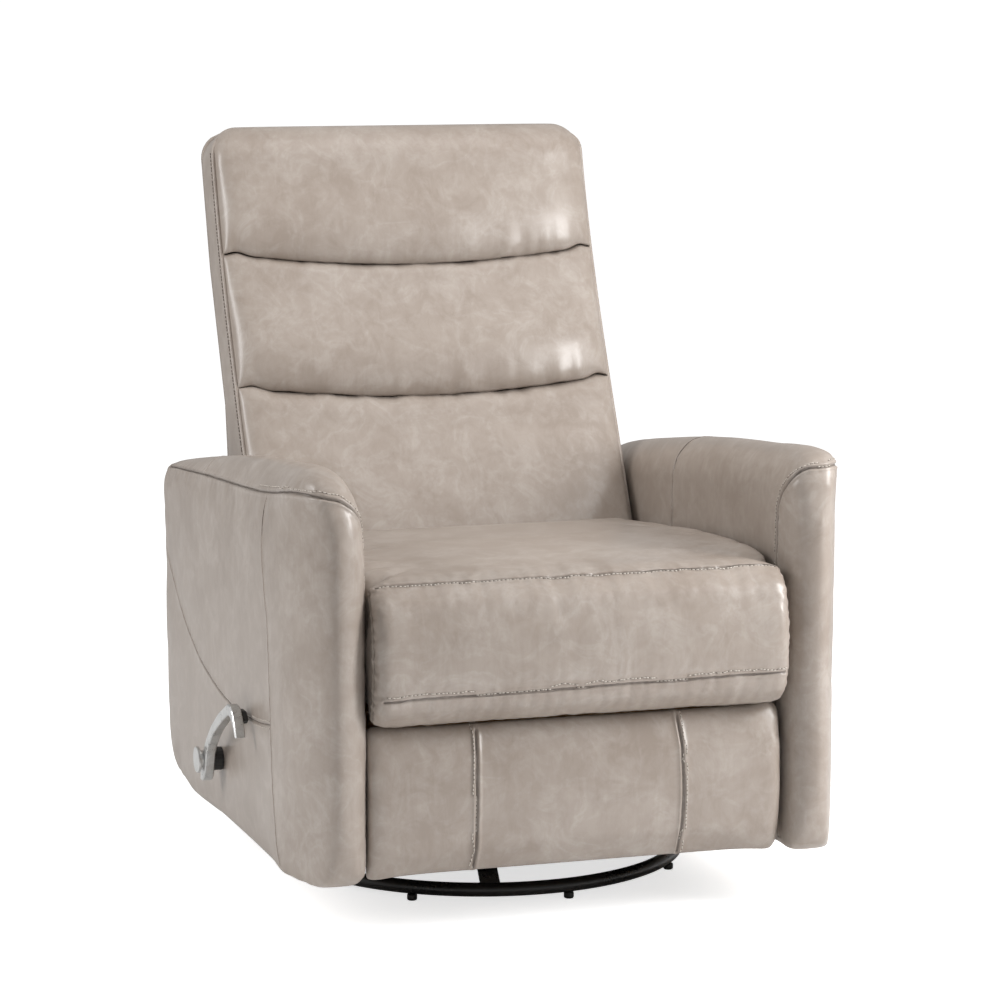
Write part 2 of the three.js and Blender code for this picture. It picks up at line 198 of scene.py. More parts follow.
# %% [markdown]
# ## Helpers for sewing
#
# A seam pulls the cover down into the foam in a narrow valley, with the leather swelling beside it
# and gathering in small puckers. The mesh is first made finer along the seam, and then its vertices
# are moved by their distance from it. The seam's strength is kept in an attribute that paints shade
# into the leather's colour down in the valley. Stitches are real little threads along the seam, with
# short dark threads between them as painted shadow in each needle hole, and a fine dark cord where
# two panels meet is painted shade in the seam's crevice. Before sewing, the padding can be drawn to a
# seam's line.

# %% Sewing helpers
ROUTE_STEP = 1.5 * MM
STITCH_PITCH = 5.4 * MM


def smooth_route(points, step=ROUTE_STEP):
    """Evenly spaced points on a rounded line through the given ones."""
    ends = [2 * points[0] - points[1], *points, 2 * points[-1] - points[-2]]
    route = []
    for before, start, end, after in zip(ends, ends[1:], ends[2:], ends[3:]):
        count = max(1, round((end - start).length / step))
        for number in range(count):
            t = number / count
            bend = 2 * before - 5 * start + 4 * end - after
            twist = 3 * start - 3 * end + after - before
            route.append(0.5 * (2 * start + (end - before) * t + bend * t**2 + twist * t**3))
    return [*route, points[-1].copy()]


def surface_of(piece):
    """The piece's surface, ready to be asked for its nearest places."""
    corners = [vertex.co for vertex in piece.data.vertices]
    return BVHTree.FromPolygons(corners, [polygon.vertices for polygon in piece.data.polygons])


def steadied(vectors, window=6):
    """Each vector averaged with its neighbours along the row."""
    rows = np.array(vectors)
    padded = np.concatenate([rows[:1]] * window + [rows] + [rows[-1:]] * window)
    mean = sum(padded[first:first + len(rows)] for first in range(2 * window + 1)) / (2 * window + 1)
    return [Vector(row) for row in mean]


def laid_on(tree, route):
    """The route's points moved onto the surface."""
    return steadied([tree.find_nearest(point)[0] for point in route])


def facing(tree, line):
    """The outward direction at each point of a line."""
    normals = steadied([tree.find_nearest(point)[1] for point in line], 10)
    return [outward.normalized() for outward in normals]


def sew(piece, routes, width, depth, swell, pucker, pucker_length=22 * MM):
    """Pulls the piece in along the routes, and puts painted shade for the valley in the attribute named
    seam.
    """
    tree = surface_of(piece)
    lines = [laid_on(tree, route) for route in routes]
    ahead = KDTree(sum(len(line) for line in lines))
    along = []
    for line in lines:
        for number, point in enumerate(line):
            ahead.insert(point, len(along))
            along.append(number * ROUTE_STEP)
    ahead.balance()
    reach = 6 * width
    bm = bmesh.new()
    bm.from_mesh(piece.data)
    near = {v for v in bm.verts if ahead.find(v.co)[2] < reach}
    edges = [e for e in bm.edges if e.verts[0] in near and e.verts[1] in near]
    bmesh.ops.subdivide_edges(bm, edges=edges, cuts=2, use_grid_fill=True)
    bm.normal_update()
    seam_shade_layer = bm.verts.layers.float.get("seam") or bm.verts.layers.float.new("seam")
    moves = []
    for vertex in bm.verts:
        point, index, distance = ahead.find(vertex.co)
        if distance > 2 * reach:
            continue
        valley = math.exp(-((distance / width) ** 2))
        shoulder = math.exp(-(((distance - 2.4 * width) / (1.5 * width)) ** 2))
        gather = noise.noise(Vector((along[index] / pucker_length * 2, distance / pucker_length, 3.7)))
        gather *= math.exp(-((distance / (2.2 * reach)) ** 2)) * smoothstep(distance, 0, 2 * width)
        moves.append((vertex, vertex.normal * (swell * shoulder + pucker * gather - depth * valley)))
        # The seam attribute is painted shade: it darkens the leather's colour down in the seam's valley.
        vertex[seam_shade_layer] = max(vertex[seam_shade_layer], 0.5 * math.exp(-((distance / (1.1 * width)) ** 2)))
    for vertex, move in moves:
        vertex.co += move
    bm.to_mesh(piece.data)
    bm.free()
    piece.data.polygons.foreach_set("use_smooth", [True] * len(piece.data.polygons))


def drawn_to(piece, targets, reach=32 * MM, limit=28 * MM):
    """Draws the surface to the target places, each of them moving what lies within its reach."""
    tree = surface_of(piece)
    places = vertex_values(piece.data, "co")
    total, weights, strongest = np.zeros_like(places), np.full(len(places), 1e-9), np.zeros(len(places))
    for target in targets:
        start = tree.find_nearest(target)[0]
        pull = target - start
        pull *= min(1, limit / max(pull.length, 1e-6))
        weight = np.exp(-((places - np.array(start)) ** 2).sum(axis=1) / reach**2)
        total += weight[:, None] * np.array(pull)
        weights += weight
        strongest = np.maximum(strongest, weight)
    move_vertices(piece.data, places + total / weights[:, None] * strongest[:, None])


def stitch_rows(name, piece, rows, body, material, length=3.4 * MM, radius=0.7 * MM, start=0):
    """Threads along rows of (route, offset), the offset being to the route's right from outside."""
    tree = surface_of(piece)
    bm = bmesh.new()
    for route, offset in rows:
        travelled = start
        line = laid_on(tree, route)
        for before, after, up in zip(line, line[1:], facing(tree, line)[1:]):
            travelled += (after - before).length
            if travelled < STITCH_PITCH:
                continue
            travelled -= STITCH_PITCH
            forward = (after - before).normalized()
            place, outward = tree.find_nearest(after + forward.cross(up).normalized() * offset)[:2]
            outward = (outward + up).normalized()
            side = forward.cross(outward).normalized()
            axes = Matrix((side, outward.normalized(), side.cross(outward).normalized()))
            turn = axes.transposed().to_4x4()
            bmesh.ops.create_cone(
                bm, cap_ends=True, segments=6, radius1=radius, radius2=radius, depth=length,
                matrix=Matrix.Translation(place + outward * radius * 0.8) @ turn,
            )
    count = len(bm.verts) // 12
    threads = mesh_object(name, bm)
    threads.data.materials.append(material)
    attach(threads, body)
    print(name, "has", count, "stitches")


def seam_line(name, piece, routes, body, radius=0.42 * MM, sides=5):
    """A fine dark cord laid where two panels meet, as painted shade in the seam's crevice."""
    tree = surface_of(piece)
    bm = bmesh.new()
    for route in routes:
        laid = laid_on(tree, route)
        line = laid[:1]
        for point in laid:
            if (point - line[-1]).length > 2 * MM:
                line.append(point)
        rings = []
        turns = [2 * math.pi * number / sides for number in range(sides)]
        ahead_of = [after - before for before, after in zip(line[:1] + line, line[1:] + line[-1:])]
        for point, ahead, up in zip(line, ahead_of, facing(tree, line)):
            ahead = ahead.normalized()
            side = ahead.cross(up).normalized()
            rise = side.cross(ahead)
            places = [point + radius * (math.cos(turn) * side + math.sin(turn) * rise) for turn in turns]
            rings.append([bm.verts.new(place) for place in places])
        for first, second in zip(rings, rings[1:]):
            for number in range(sides):
                following = (number + 1) % sides
                bm.faces.new((first[number], first[following], second[following], second[number]))
        bm.faces.new(rings[0])
        bm.faces.new(rings[-1])
    bmesh.ops.recalc_face_normals(bm, faces=bm.faces)
    line = mesh_object(name, bm)
    line.data.materials.append(dark_thread_and_painted_shade)
    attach(line, body)
    print(name, "has", len(line.data.polygons), "faces")


def stitched(name, piece, rows, body):
    """Pale stitches, with short dark threads between them as painted shadow in each needle hole."""
    stitch_rows(name, piece, rows, body, pale_thread)
    # The short dark threads are painted shade: they stand for the shadow down in each needle hole.
    hole_shadows = {"length": 1.4 * MM, "radius": 0.5 * MM, "start": STITCH_PITCH / 2}
    stitch_rows(name + "_holes", piece, rows, body, dark_thread_and_painted_shade, **hole_shadows)


# %% [markdown]
# ## Shared effects as node groups
#
# Leather, paint, steel and wood all show soft irregular patches, so one group makes them for every
# material. It takes the piece's own coordinates, so a pattern stays fixed on the surface, and gives
# a mask from 0 to 1. A second group makes fine grain for bump. Both put out only values that change
# over the surface.

# %% Node group helpers
def add(tree, kind, inputs=(), **settings):
    """A node with its settings, and its inputs set to values or linked to other sockets."""
    node = tree.nodes.new(kind)
    for name, value in settings.items():
        setattr(node, name, value)
    for name, value in dict(inputs).items():
        if isinstance(value, bpy.types.NodeSocket):
            tree.links.new(value, node.inputs[name])
        else:
            node.inputs[name].default_value = value
    return node


def new_group(name, inputs, outputs):
    """A shader node group with float inputs (name: default) and outputs, and its two end nodes."""
    tree = bpy.data.node_groups.new(name, "ShaderNodeTree")
    for label, value in inputs.items():
        socket = tree.interface.new_socket(label, in_out="INPUT", socket_type="NodeSocketFloat")
        socket.default_value = value
    for label in outputs:
        tree.interface.new_socket(label, in_out="OUTPUT", socket_type="NodeSocketFloat")
    return tree, tree.nodes.new("NodeGroupInput"), tree.nodes.new("NodeGroupOutput")


def ranged(tree, value, low, high, to_low=0.0, to_high=1.0):
    """The value stretched from one range to another."""
    inputs = {"Value": value, "From Min": low, "From Max": high, "To Min": to_low, "To Max": to_high}
    return add(tree, "ShaderNodeMapRange", inputs).outputs["Result"]


def sum_of(tree, first, second, operation="ADD"):
    node = add(tree, "ShaderNodeMath", operation=operation)
    for socket, value in zip(node.inputs, (first, second)):
        if isinstance(value, bpy.types.NodeSocket):
            tree.links.new(value, socket)
        else:
            socket.default_value = value
    return node.outputs[0]


def noise_node(tree, place, scale, detail, roughness, distortion):
    inputs = {"Vector": place, "Scale": scale, "Detail": detail, "Roughness": roughness}
    return add(tree, "ShaderNodeTexNoise", {**inputs, "Distortion": distortion})


# %% [markdown]
# The clouds come from one noise, and the wisps from the ridge line of another.

# %% The patches group
def patches_group():
    """Soft clouds, smaller blotches and fine upright fibres in one mask, and thin wisps in another."""
    scales = {"Cloud scale": 9, "Blotch scale": 34, "Fibre scale": 120}
    tree, given, result = new_group("patches", scales, ["Mask", "Fibres", "Wisps"])
    place = add(tree, "ShaderNodeTexCoord").outputs["Object"]
    upright = add(tree, "ShaderNodeMapping", {"Vector": place, "Scale": (1, 1, 0.22)})
    stretched = upright.outputs["Vector"]
    bent = sum_of(tree, given.outputs["Blotch scale"], 0.6, "MULTIPLY")
    clouds = noise_node(tree, place, given.outputs["Cloud scale"], 4, 0.55, 0.5)
    blotches = noise_node(tree, place, given.outputs["Blotch scale"], 6, 0.66, 0.9)
    fibres = noise_node(tree, stretched, given.outputs["Fibre scale"], 5, 0.7, 1.2)
    ridges = noise_node(tree, place, bent, 5, 0.6, 0.7)
    off_ridge = sum_of(tree, sum_of(tree, ridges.outputs[0], 0.5, "SUBTRACT"), 0, "ABSOLUTE")
    wisps = ranged(tree, off_ridge, 0.0, 0.07, 1, 0)
    broad = ranged(tree, clouds.outputs[0], 0.35, 0.65)
    small = ranged(tree, blotches.outputs[0], 0.32, 0.68)
    fine = ranged(tree, fibres.outputs[0], 0.3, 0.7)
    parts = ((broad, 0.34), (small, 0.42), (fine, 0.24))
    shares = [sum_of(tree, part, share, "MULTIPLY") for part, share in parts]
    mixed = sum_of(tree, sum_of(tree, shares[0], shares[1]), shares[2])
    tree.links.new(mixed, result.inputs["Mask"])
    tree.links.new(fine, result.inputs["Fibres"])
    tree.links.new(wisps, result.inputs["Wisps"])
    return tree


def grain_group():
    """Fine pebbled grain with its pores, as a height."""
    tree, given, result = new_group("grain", {"Scale": 700}, ["Height"])
    place = add(tree, "ShaderNodeTexCoord").outputs["Object"]
    cells = {"Vector": place, "Scale": given.outputs["Scale"]}
    pebbles = add(tree, "ShaderNodeTexVoronoi", cells, feature="SMOOTH_F1")
    half = sum_of(tree, given.outputs["Scale"], 0.35, "MULTIPLY")
    waves = add(tree, "ShaderNodeTexNoise", {"Vector": place, "Scale": half, "Detail": 3})
    height = sum_of(tree, sum_of(tree, pebbles.outputs["Distance"], 0.6, "MULTIPLY"), waves.outputs[0])
    tree.links.new(height, result.inputs["Height"])
    return tree


patches = patches_group()
grain = grain_group()

# %% [markdown]
# ## The leather
#
# The cover is a coated leather in greige: a warm grey ground with paler clouds, blotches the size of
# a thumb and fine upright veins, and a satin top coat. In the folds of the seams its colour is darker
# with painted shade. The grain is only a tenth of a millimetre deep, so bump is enough for it, while
# all puckers, seams and folds are in the meshes.

# %% Materials: leather and thread
def new_material(name):
    material = bpy.data.materials.new(name)
    material.use_nodes = True
    tree = material.node_tree
    return material, tree, tree.nodes["Principled BSDF"]


def group_node(tree, group, **inputs):
    node = tree.nodes.new("ShaderNodeGroup")
    node.node_tree = group
    for name, value in inputs.items():
        node.inputs[name.replace("_", " ")].default_value = value
    return node


def mixed_colour(tree, factor, first, second, blend="MIX"):
    node = add(tree, "ShaderNodeMix", data_type="RGBA", blend_type=blend)
    for index, value in ((0, factor), (6, first), (7, second)):
        if isinstance(value, bpy.types.NodeSocket):
            tree.links.new(value, node.inputs[index])
        else:
            node.inputs[index].default_value = value
    return node.outputs[2]


def bumped(tree, shader, height, strength, distance):
    bump = add(tree, "ShaderNodeBump", {"Height": height, "Strength": strength, "Distance": distance})
    tree.links.new(bump.outputs["Normal"], shader.inputs["Normal"])


def leather_material():
    material, tree, shader = new_material("greige_leather")
    look = group_node(tree, patches, Cloud_scale=8, Blotch_scale=26, Fibre_scale=70)
    contrast = ranged(tree, look.outputs["Mask"], 0.22, 0.8)
    ground = mixed_colour(tree, contrast, (0.280, 0.232, 0.196, 1), (0.345, 0.296, 0.258, 1))
    faint = sum_of(tree, sum_of(tree, look.outputs["Wisps"], contrast, "MULTIPLY"), 0.30, "MULTIPLY")
    colour = mixed_colour(tree, faint, ground, (0.46, 0.420, 0.386, 1))
    # The seam attribute is painted shade: it mixes the colour towards near black down in the seams'
    # valleys.
    seam_shade = add(tree, "ShaderNodeAttribute", attribute_name="seam")
    shade = mixed_colour(tree, seam_shade.outputs["Fac"], colour, (0.045, 0.032, 0.026, 1))
    tree.links.new(shade, shader.inputs["Base Color"])
    gloss = ranged(tree, look.outputs["Mask"], 0, 1, 0.28, 0.38)
    tree.links.new(gloss, shader.inputs["Roughness"])
    shader.inputs["Specular IOR Level"].default_value = 0.55
    pores = group_node(tree, grain, Scale=620)
    bumped(tree, shader, pores.outputs["Height"], 0.12, 0.15 * MM)
    return material


def thread_material(name, dark, pale):
    material, tree, shader = new_material(name)
    look = group_node(tree, patches, Cloud_scale=60, Blotch_scale=400, Fibre_scale=900)
    colour = mixed_colour(tree, look.outputs["Mask"], (*dark, 1), (*pale, 1))
    tree.links.new(colour, shader.inputs["Base Color"])
    shader.inputs["Roughness"].default_value = 0.7
    twist = group_node(tree, grain, Scale=2500)
    bumped(tree, shader, twist.outputs["Height"], 0.4, 0.1 * MM)
    return material


leather = leather_material()
pale_thread = thread_material("pale_thread", (0.44, 0.39, 0.34), (0.66, 0.61, 0.55))
# The dark thread colours the back's stitches, and it is also painted shade as the seam cords and the
# short threads in each needle hole.
dark_thread_and_painted_shade = thread_material("dark_thread_and_painted_shade", (0.10, 0.082, 0.07), (0.20, 0.17, 0.15))
print("materials:", leather.name, pale_thread.name, dark_thread_and_painted_shade.name)

# %% [markdown]
# ## Metal, plastic and wood
#
# The base is sprayed satin black, the mechanism is dull zinc plate with some stamped parts in
# black, the lever is die cast and tumbled to a soft silver, and the frames inside are plywood. Each
# takes the shared groups with its own scales.

# %% Materials: hard parts
def hard_material(name, dark, pale, metallic, roughness, scales, bump_scale, bump_depth):
    """A hard finish between two colours, with its gloss varied by the same patches."""
    material, tree, shader = new_material(name)
    cloud, blotch, fibre = scales
    look = group_node(tree, patches, Cloud_scale=cloud, Blotch_scale=blotch, Fibre_scale=fibre)
    mask = ranged(tree, look.outputs["Mask"], 0.25, 0.75)
    tree.links.new(mixed_colour(tree, mask, (*dark, 1), (*pale, 1)), shader.inputs["Base Color"])
    tree.links.new(ranged(tree, mask, 0, 1, roughness[0], roughness[1]), shader.inputs["Roughness"])
    shader.inputs["Metallic"].default_value = metallic
    fine = group_node(tree, grain, Scale=bump_scale)
    bumped(tree, shader, fine.outputs["Height"], 0.2, bump_depth)
    return material


black_paint = hard_material(
    "satin_black_paint", (0.007, 0.0065, 0.006), (0.013, 0.012, 0.011), 0, (0.24, 0.36),
    (12, 60, 140), 900, 0.1 * MM)
zinc_plate = hard_material(
    "zinc_plate", (0.12, 0.12, 0.12), (0.26, 0.26, 0.25), 1, (0.35, 0.55),
    (25, 120, 260), 1500, 0.05 * MM)
silver_cast = hard_material(
    "silver_casting", (0.50, 0.50, 0.49), (0.66, 0.66, 0.65), 0.85, (0.26, 0.4),
    (40, 160, 420), 2200, 0.06 * MM)
black_plastic = hard_material(
    "black_plastic", (0.010, 0.010, 0.010), (0.020, 0.019, 0.018), 0, (0.42, 0.55),
    (30, 150, 300), 1400, 0.08 * MM)
plywood = hard_material(
    "frame_plywood", (0.36, 0.22, 0.11), (0.62, 0.44, 0.26), 0, (0.55, 0.7),
    (6, 30, 260), 500, 0.2 * MM)

SLOT_MATERIALS = {
    "cover": leather, "black_steel": black_paint, "zinc_steel": zinc_plate,
    "lever_silver": silver_cast, "black_plastic": black_plastic, "frame_wood": plywood,
}
print("hard finishes:", sorted(SLOT_MATERIALS))

# %% [markdown]
# ## The line of the back
#
# Seen from the side the back follows one gently bent line, from behind the seat up to the head, and
# the sewn edge between the front cover and the side panels runs along it. Fitting a smooth curve to
# five points of that line gives a place for any height along it and any depth behind it, and all the
# back's covers are laid out in these two measures.

# %% The back's own measures
BACK_LINE = np.array([(118, 345), (174, 464), (274, 678), (365, 872), (419, 1050)]) * MM
BACK_HALF_WIDTH = 299 * MM
SEAM_GAP = 2.5 * MM
steps = np.linalg.norm(np.diff(BACK_LINE, axis=0), axis=1)
SEWN = np.concatenate([[0], np.cumsum(steps)])
LOWER, LUMBAR, CHEST, NECK, CROWN = SEWN
line_y = np.polynomial.Polynomial.fit(SEWN, BACK_LINE[:, 0], 3)
line_z = np.polynomial.Polynomial.fit(SEWN, BACK_LINE[:, 1], 3)


def on_back(x, along, depth):
    """Places from arrays of x, height along the sewn line and depth behind it."""
    rise_y, rise_z = line_y.deriv()(along), line_z.deriv()(along)
    length = np.hypot(rise_y, rise_z)
    y = line_y(along) + depth * rise_z / length
    z = line_z(along) - depth * rise_y / length
    return np.stack([AXIS.x + x + 0 * y, AXIS.y + y, z], axis=-1)


print("heights along the back:", [round(float(v), 3) for v in SEWN])

# %% [markdown]
# ## A pillow from a fine box
#
# Each part of the back is a pillow whose front is crowned, whose lower lip hangs over the channel
# below it, and whose rear lies flat on the back board. A box cut into a fine grid can be mapped onto
# that form by a formula, which keeps the edges exact where the pillows meet. The rows are drawn
# closer together towards the edges, where the form turns fastest.

# %% Box and pillow helpers
def fine_box(cuts):
    """A box from -1 to 1 with so many cuts along x, y and z."""
    bm = bmesh.new()
    bmesh.ops.create_cube(bm, size=2)
    for axis, number in enumerate(cuts):
        edges = [e for e in bm.edges if abs(e.verts[0].co[axis] - e.verts[1].co[axis]) > 1]
        bmesh.ops.subdivide_edges(bm, edges=edges, cuts=number, use_grid_fill=True)
    return bm


def crowded(values):
    """Values from -1 to 1 drawn closer together towards both ends."""
    return values * (5 - values**4) / 4


def channel_sag(side):
    """How far a channel hangs below its ends, from -1 at the right end to 1 at the left."""
    middle = np.clip(1 - side**2, 0, 1) ** 1.3
    hump = np.exp(-(((np.abs(side) - 0.93) / 0.05) ** 2))
    return 6 * MM * hump - 21 * MM * middle


CORNER_RADIUS = 40 * MM
CROWN_DEPTH = 36 * MM
BACK_DEPTH = 40 * MM


def rounded_half_width(along, top):
    """Half the back's width, less in the rounded top corners."""
    over = np.clip(along - (top - CORNER_RADIUS), 0, CORNER_RADIUS)
    return BACK_HALF_WIDTH - (CORNER_RADIUS - np.sqrt(np.maximum(CORNER_RADIUS**2 - over**2, 0)))


def ripples(x, y, seed):
    """Smooth noise at many places, about -0.5 to 0.5."""
    return np.array([noise.noise(Vector((a, b, seed))) for a, b in zip(x, y)])


def channel_creases(side, rise, seed):
    """Upright creases, coarse and fine, where a pillow is gathered into a channel."""
    return ripples(side * 9, rise * 0.6, seed) + 0.5 * ripples(side * 21, rise * 2, seed + 5)


def back_pillow(name, low, high, sags, lip, fall, seed):
    """A pillow between two heights, fullest near its lower lip and falling off towards the top."""
    bm = fine_box((96, 40, 6))
    piece = mesh_object(name, bm)
    side, rise, rear = vertex_values(piece.data, "co").T
    side, rise = crowded(side), (crowded(rise) + 1) / 2
    bottom = low + (channel_sag(side) if sags[0] else 0)
    top = high + (channel_sag(side) if sags[1] else 0)
    across = np.sqrt(np.clip(1 - np.abs(side) ** 7, 0, 1))
    start = np.clip(1 - rise / 0.3, 0, 1)
    lower = np.clip(1 - start**2.4, 0, 1) ** (1 / 2.2)
    upper = 1 - fall * smoothstep(rise, 0.25, 1.0)
    end = np.clip((rise - 0.9) / 0.1, 0, 1)
    full = across * lower * upper * np.sqrt(np.clip(1 - end**2, 0, 1))
    along = bottom + (top - bottom) * rise
    creases = channel_creases(side, rise, seed)
    near = np.exp(-rise / 0.09) + np.exp(-(1 - rise) / 0.06)
    front = 3 * MM - (CROWN_DEPTH + 3 * MM) * full + 7 * MM * creases * near * across
    depth = front + (BACK_DEPTH - front) * (rear + 1) / 2
    along = along - lip * np.sin(np.pi * np.clip(lower, 0, 1)) * across * (1 - (rear + 1) / 2)
    move_vertices(piece.data, on_back((BACK_HALF_WIDTH - SEAM_GAP) * side, along, depth))
    return piece


# %% [markdown]
# ## The two lower pillows of the back
#
# The lumbar pillow fills the small of the back and the chest pillow lies above it. Each has a full
# lower lip that rolls over the channel and thins out upwards, which is what loose fibre does in a
# channelled back. Upright creases run out of the channels and fade.

# %% Lumbar and chest pillows
GAP = 1.0 * MM
LIP = 9 * MM
lumbar = back_pillow("lumbar_pillow", LOWER, CHEST - GAP, (False, True), 0, 0.45, 1.3)
chest = back_pillow("chest_pillow", CHEST + GAP, NECK - GAP, (True, True), LIP, 0.5, 7.7)
print("pillows:", lumbar.name, chest.name)

# %% [markdown]
# ## The head pillow
#
# The head pillow is like the others below, but at the top its cover rolls over the frame and meets
# the top panel behind, and its upper corners are rounded.

# %% Head pillow
TOP = CROWN + 18 * MM
TOP_SEAM_DEPTH = 22 * MM


def head_pillow(name, low, top, seed):
    """The top pillow, whose front rolls back over the frame to the seam on top."""
    bm = fine_box((96, 46, 6))
    piece = mesh_object(name, bm)
    side, rise, rear = vertex_values(piece.data, "co").T
    side, rise = crowded(side), (crowded(rise) + 1) / 2
    bottom = low + channel_sag(side)
    along = bottom + (top - bottom) * rise
    across = np.sqrt(np.clip(1 - np.abs(side) ** 7, 0, 1))
    start = np.clip(1 - rise / 0.3, 0, 1)
    lower = np.clip(1 - start**2.4, 0, 1) ** (1 / 2.2)
    roll = np.clip((rise - 0.68) / 0.32, 0, 1)
    upper = 1 - 0.22 * smoothstep(rise, 0.3, 0.75)
    full = across * lower * upper * np.sqrt(np.clip(1 - roll**2.3, 0, 1))
    rim = TOP_SEAM_DEPTH * smoothstep(rise, 0.72, 1)
    creases = channel_creases(side, rise, seed)
    front = rim - (CROWN_DEPTH + rim) * full + 7 * MM * creases * np.exp(-rise / 0.08) * across
    depth = front + (BACK_DEPTH - front) * (rear + 1) / 2
    along = along - LIP * np.sin(np.pi * np.clip(lower, 0, 1)) * across * (1 - (rear + 1) / 2)
    width = rounded_half_width(along, top) - SEAM_GAP
    move_vertices(piece.data, on_back(width * side, along, depth))
    return piece


head = head_pillow("head_pillow", NECK + GAP, TOP, 3.1)
print("pillow:", head.name)

# %% [markdown]
# ## Side panels and outside back
#
# Behind the pillows the frame is wrapped in flat covers: a boxing strip runs up one side, over the
# top and down the other, and a plain panel closes the rear and hangs straight down behind the seat.
# Each is a grid bent to shape and given the thickness of leather on thin foam.

# %% Boxing strip and outside back
REAR_DEPTH = 74 * MM
PANEL_FOAM = 6 * MM
REAR_LINE = np.array([(346, 285), (337, 440), (331, 570)]) * MM
rear_top_y, rear_top_z = on_back(0, np.array([LUMBAR, CHEST, NECK, CROWN]), REAR_DEPTH)[:, 1:].T
REAR_KEYS = np.array([-20 * MM, 100 * MM, 235 * MM, CHEST + 12 * MM, NECK, CROWN + 20 * MM])
crown_y, crown_z = on_back(0, np.array([CROWN + 20 * MM]), REAR_DEPTH)[0, 1:]
REAR_Y = np.array([*(REAR_LINE[:, 0] + AXIS.y), rear_top_y[1], rear_top_y[2], crown_y])
REAR_Z = np.array([*REAR_LINE[:, 1], rear_top_z[1], rear_top_z[2], crown_z])


def rear_edge(along):
    """Height and rearward place of the outside back for a height along the sewn line."""
    return np.interp(along, REAR_KEYS, REAR_Y), np.interp(along, REAR_KEYS, REAR_Z)


def grid_piece(name, columns, rows, place):
    """A grid whose points, from 0 to 1 both ways, are placed by a function."""
    bm = bmesh.new()
    bmesh.ops.create_grid(bm, x_segments=columns, y_segments=rows, size=0.5)
    piece = mesh_object(name, bm)
    across, up, _ = (vertex_values(piece.data, "co") + 0.5).T
    move_vertices(piece.data, place(across, up))
    return piece


def thickened(piece, thickness):
    """Gives a sheet its thickness, inwards from its outer face."""
    wall = piece.modifiers.new("Thickness", "SOLIDIFY")
    wall.thickness = thickness
    wall.offset = -1
    keep_modifiers(piece)


def boxing_strip(across, up):
    """Round the back from low on the right side, over the top, to low on the left side."""
    start, half = 30 * MM, BACK_HALF_WIDTH + 1.5 * MM
    top = TOP - 6 * MM
    straight, arc = top - CORNER_RADIUS - start, CORNER_RADIUS * math.pi / 2
    level = 2 * (half - CORNER_RADIUS)
    total = 2 * straight + 2 * arc + level
    travel = across * total
    mirror = np.where(travel > total / 2, 1.0, -1.0)
    travel = np.minimum(travel, total - travel)
    angle = np.clip((travel - straight) / arc, 0, 1) * math.pi / 2
    along = start + np.minimum(travel, straight) + CORNER_RADIUS * np.sin(angle)
    inward = CORNER_RADIUS * (1 - np.cos(angle)) + np.clip(travel - straight - arc, 0, None)
    over_top = smoothstep(angle, 0.2, math.pi / 2)
    edge = 3 * MM + (TOP_SEAM_DEPTH - 1 * MM) * over_top
    bulge = 1.5 * MM * (1 - (2 * up - 1) ** 4)
    x = mirror * (half - inward + bulge * (1 - over_top))
    along = along + bulge * over_top
    front = on_back(x, along, edge)
    rear = front.copy()
    rear[:, 1], rear[:, 2] = rear_edge(along)
    return front + (rear - front) * up[:, None]


def outside_back(across, up):
    """The rear panel, from low behind the seat to the top, with its edges rolled forward."""
    along = REAR_KEYS[0] + (TOP - REAR_KEYS[0]) * up
    side = 2 * across - 1
    width = rounded_half_width(along, TOP + 1 * MM)
    y, z = rear_edge(along)
    crown = 5 * MM * np.sqrt(np.clip(1 - side**8, 0, 1)) * np.clip((1 - up) / 0.04, 0, 1) ** 0.5
    return np.stack([AXIS.x + side * width, y + crown, z], axis=-1)


boxing = grid_piece("back_boxing", 340, 16, boxing_strip)
thickened(boxing, PANEL_FOAM)
outside = grid_piece("outside_back_cover", 90, 130, outside_back)
thickened(outside, PANEL_FOAM)
print("back covers:", boxing.name, outside.name)

# %% [markdown]
# ## Seat and footrest foam
#
# The seat is one block of foam with a crowned top that falls a little towards the arms. The footrest
# pad is a wide flat pad. Both come from their CAD foam and are softened and puffed. The seat's cover is
# then drawn to the lines that its panels are cut to: the profile of its front and its two side edges.

# %% Seat cushion
seat_low, seat_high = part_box("seat_cushion")
seat = foam_copy("seat_cover", "seat_cushion")
relaxed(seat.data, 4)
fit_to(seat, seat_low, seat_high)
places = vertex_values(seat.data, "co")
seat_side = (places[:, 0] - AXIS.x) / ((seat_high.x - seat_low.x) / 2)
upper = smoothstep(places[:, 2], seat_low.z + 120 * MM, seat_high.z)
places[:, 2] -= 10 * MM * np.abs(seat_side) ** 3 * upper
move_vertices(seat.data, places)
puff(seat, 10 * MM)
subdivided(seat)
fit_to(seat, seat_low, seat_high)
SEAT_FRONT = ((-436, 489), (-462, 466), (-473, 430), (-477, 385), (-475, 343), (-468, 318), (-450, 302))
SEAT_SIDE = ((-371, 496), (-296, 498), (-219, 495), (-140, 491), (-58, 483), (25, 474), (112, 465))
seat_shape = []
for x in np.linspace(-295, 295, 30):
    seat_shape += smooth_route([at(x, y, z) for y, z in SEAT_FRONT], 16 * MM)
for x in (-290, 290):
    seat_shape += smooth_route([at(x, y, z) for y, z in SEAT_SIDE], 16 * MM)
seat_shape += [at(x, 130, 470) for x in range(-270, 271, 18)]
for _ in range(2):
    drawn_to(seat, seat_shape, reach=40 * MM)
print("seat cushion:", len(seat.data.vertices), "vertices")

# %% [markdown]
# The footrest pad fills nearly all the width between the arms, up to the seat above it.

